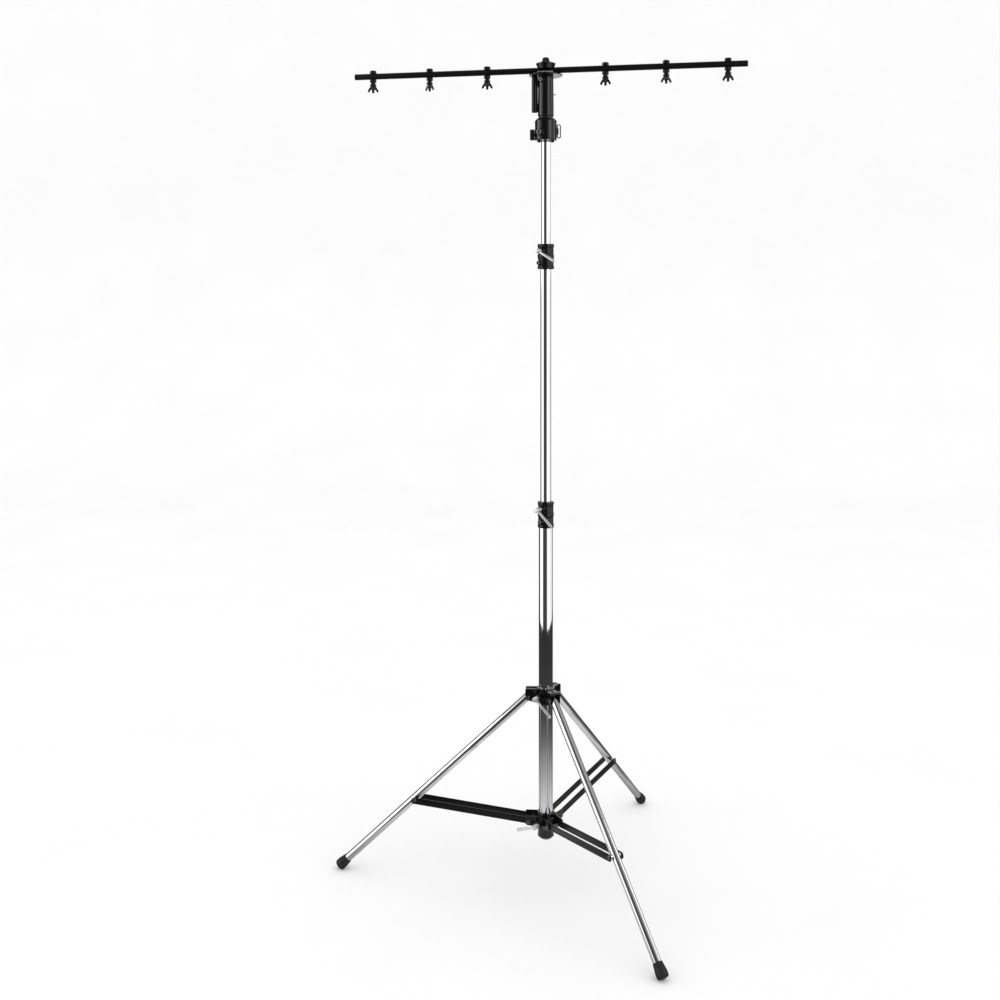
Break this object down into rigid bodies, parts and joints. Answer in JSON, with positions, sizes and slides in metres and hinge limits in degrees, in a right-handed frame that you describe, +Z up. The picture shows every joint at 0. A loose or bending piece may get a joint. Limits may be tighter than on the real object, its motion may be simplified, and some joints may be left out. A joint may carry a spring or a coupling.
{
  "type": "lighting stand",
  "caption": "Steel lighting stand with telescopic risers, a folding tripod base with braced legs, and a T-bar with bolts and wing nuts for lamps.",
  "frame": {"origin": "on the floor, at the middle of the box around the stand; the column axis is 23.6 mm from it along +X, because the left foot reaches further than the T-bar", "axes": "+Z up the column; the left leg points along -X and the other two legs 60 degrees either side of +X; the lever screws face -Y"},
  "size_m": [1.309, 1.1802, 2.6154],
  "materials": {
    "chrome": "bright chrome plate, polished along the tubes",
    "black_enamel": "gloss black paint over a casting",
    "black_steel": "satin black paint on steel",
    "grey_steel": "plain zinc-grey steel",
    "black_rubber": "matte moulded rubber",
    "black_plastic": "moulded plastic, slightly glossy",
    "white_nylon": "off-white moulded nylon"
  },
  "bodies": {
    "column": {"base_column": "chrome", "column_plug": "black_plastic", "lower_spider": "black_enamel", "base_collar": "black_enamel", "base_collar_bolt": "grey_steel", "brace_pin_left": "grey_steel", "brace_pin_front": "grey_steel", "brace_pin_rear": "grey_steel"},
    "spider": {"upper_spider": "black_enamel", "leg_pin_left": "grey_steel", "leg_pin_front": "grey_steel", "leg_pin_rear": "grey_steel"},
    "leg_left": {"leg_left": "chrome", "foot_left": "black_rubber"},
    "brace_left": {"brace_left_a": "black_steel", "brace_left_b": "black_steel"},
    "leg_front": {"leg_front": "chrome", "foot_front": "black_rubber"},
    "brace_front": {"brace_front_a": "black_steel", "brace_front_b": "black_steel"},
    "leg_rear": {"leg_rear": "chrome", "foot_rear": "black_rubber"},
    "brace_rear": {"brace_rear_a": "black_steel", "brace_rear_b": "black_steel"},
    "lower_lever": {"lower_spider_lever": "grey_steel"},
    "upper_lever": {"upper_spider_lever": "grey_steel"},
    "base_lever": {"base_collar_lever": "grey_steel"},
    "riser_lever": {"riser_collar_lever": "grey_steel"},
    "middle_riser": {"middle_riser": "chrome", "middle_guide": "white_nylon", "riser_collar": "black_enamel", "riser_collar_bolt": "grey_steel"},
    "upper_riser": {"upper_riser": "chrome", "upper_guide": "white_nylon", "top_socket": "black_enamel", "top_socket_bolt": "grey_steel"},
    "socket_knob": {"top_socket_knob": "black_plastic"},
    "latch_loop": {"latch_loop": "black_steel"},
    "lamp_head": {"swivel_washer": "black_plastic", "adaptor_body": "black_enamel", "adaptor_bolt": "grey_steel", "side_socket": "black_enamel", "adaptor_plate": "black_enamel", "t_bar": "black_steel", "bar_clamp": "black_enamel", "lamp_bolt_1": "black_steel", "lamp_bolt_2": "black_steel", "lamp_bolt_3": "black_steel", "lamp_bolt_4": "black_steel", "lamp_bolt_5": "black_steel", "lamp_bolt_6": "black_steel"},
    "top_knob": {"top_knob": "black_plastic"},
    "release_pin": {"release_pin": "grey_steel"},
    "wing_nut_1": {"wing_nut_1": "black_enamel"},
    "wing_nut_2": {"wing_nut_2": "black_enamel"},
    "wing_nut_3": {"wing_nut_3": "black_enamel"},
    "wing_nut_4": {"wing_nut_4": "black_enamel"},
    "wing_nut_5": {"wing_nut_5": "black_enamel"},
    "wing_nut_6": {"wing_nut_6": "black_enamel"}
  },
  "joints": [
    {"name": "spider_slide", "type": "slide", "parent": "column", "child": "spider", "axis": [0, 0, 1], "range_m": [0, 0.47318]},
    {"name": "leg_left_hinge", "type": "hinge", "parent": "spider", "child": "leg_left", "pos_m": [-0.03343, 0, 0.57169], "axis": [0, -1, 0], "range_deg": [0, 47.41]},
    {"name": "leg_front_hinge", "type": "hinge", "parent": "spider", "child": "leg_front", "pos_m": [0.05208, -0.04936, 0.57169], "axis": [0.866, 0.5, 0], "range_deg": [0, 47.41]},
    {"name": "leg_rear_hinge", "type": "hinge", "parent": "spider", "child": "leg_rear", "pos_m": [0.05208, 0.04936, 0.57169], "axis": [-0.866, 0.5, 0], "range_deg": [0, 47.41]},
    {"name": "brace_left_hinge", "type": "hinge", "parent": "column", "child": "brace_left", "pos_m": [-0.03143, 0, 0.179], "axis": [0, 1, 0], "range_deg": [0, 80.76]},
    {"name": "brace_front_hinge", "type": "hinge", "parent": "column", "child": "brace_front", "pos_m": [0.05108, -0.04763, 0.179], "axis": [-0.866, -0.5, 0], "range_deg": [0, 80.76]},
    {"name": "brace_rear_hinge", "type": "hinge", "parent": "column", "child": "brace_rear", "pos_m": [0.05108, 0.04763, 0.179], "axis": [0.866, -0.5, 0], "range_deg": [0, 80.76]},
    {"name": "lower_lever_turn", "type": "hinge", "parent": "column", "child": "lower_lever", "pos_m": [-0.00743, -0.05369, 0.1758], "axis": [-0.5, -0.866, 0], "range_deg": [0, 138]},
    {"name": "upper_lever_turn", "type": "hinge", "parent": "spider", "child": "upper_lever", "pos_m": [-0.00743, -0.05369, 0.57869], "axis": [-0.5, -0.866, 0], "range_deg": [0, 360]},
    {"name": "base_lever_turn", "type": "hinge", "parent": "column", "child": "base_lever", "pos_m": [-0.00293, -0.0459, 1.175], "axis": [-0.5, -0.866, 0], "range_deg": [0, 360]},
    {"name": "riser_lever_turn", "type": "hinge", "parent": "middle_riser", "child": "riser_lever", "pos_m": [-0.00293, -0.0459, 1.9965], "axis": [-0.5, -0.866, 0], "range_deg": [0, 360]},
    {"name": "middle_riser_slide", "type": "slide", "parent": "column", "child": "middle_riser", "axis": [0, 0, 1], "range_m": [-0.736, 0.1]},
    {"name": "upper_riser_slide", "type": "slide", "parent": "middle_riser", "child": "upper_riser", "axis": [0, 0, 1], "range_m": [-0.32, 0.45]},
    {"name": "socket_knob_turn", "type": "hinge", "parent": "upper_riser", "child": "socket_knob", "pos_m": [-0.01202, 0, 2.3685], "axis": [-1, 0, 0], "range_deg": [0, 360]},
    {"name": "latch_loop_swing", "type": "hinge", "parent": "upper_riser", "child": "latch_loop", "pos_m": [0.06057, 0, 2.379], "axis": [0, 0, 1], "range_deg": [-75, 75]},
    {"name": "bar_swivel", "type": "hinge", "parent": "upper_riser", "child": "lamp_head", "pos_m": [0.02357, 0, 2.427], "axis": [0, 0, 1], "continuous": true},
    {"name": "top_knob_turn", "type": "hinge", "parent": "lamp_head", "child": "top_knob", "pos_m": [0.02357, 0, 2.5973], "axis": [0, 0, 1], "range_deg": [0, 360]},
    {"name": "release_pin_press", "type": "slide", "parent": "lamp_head", "child": "release_pin", "axis": [0.9934, -0.1149, 0], "range_m": [-0.004, 0], "stiffness_N_per_m": 300},
    {"name": "wing_nut_1_turn", "type": "hinge", "parent": "lamp_head", "child": "wing_nut_1", "pos_m": [-0.54563, 0.06586, 2.5443], "axis": [0, 0, -1], "range_deg": [0, 360]},
    {"name": "wing_nut_2_turn", "type": "hinge", "parent": "lamp_head", "child": "wing_nut_2", "pos_m": [-0.35589, 0.04391, 2.5443], "axis": [0, 0, -1], "range_deg": [0, 360]},
    {"name": "wing_nut_3_turn", "type": "hinge", "parent": "lamp_head", "child": "wing_nut_3", "pos_m": [-0.16616, 0.02195, 2.5443], "axis": [0, 0, -1], "range_deg": [0, 360]},
    {"name": "wing_nut_4_turn", "type": "hinge", "parent": "lamp_head", "child": "wing_nut_4", "pos_m": [0.21331, -0.02195, 2.5443], "axis": [0, 0, -1], "range_deg": [0, 360]},
    {"name": "wing_nut_5_turn", "type": "hinge", "parent": "lamp_head", "child": "wing_nut_5", "pos_m": [0.40304, -0.04391, 2.5443], "axis": [0, 0, -1], "range_deg": [0, 360]},
    {"name": "wing_nut_6_turn", "type": "hinge", "parent": "lamp_head", "child": "wing_nut_6", "pos_m": [0.59278, -0.06586, 2.5443], "axis": [0, 0, -1], "range_deg": [0, 360]}
  ],
  "couplings": [
    {"joint": "leg_left_hinge", "follows": "spider_slide", "rad_per_m": 1.7484},
    {"joint": "leg_front_hinge", "follows": "spider_slide", "rad_per_m": 1.7484},
    {"joint": "leg_rear_hinge", "follows": "spider_slide", "rad_per_m": 1.7484},
    {"joint": "brace_left_hinge", "follows": "spider_slide", "rad_per_m": 2.9785},
    {"joint": "brace_front_hinge", "follows": "spider_slide", "rad_per_m": 2.9785},
    {"joint": "brace_rear_hinge", "follows": "spider_slide", "rad_per_m": 2.9785}
  ]
}
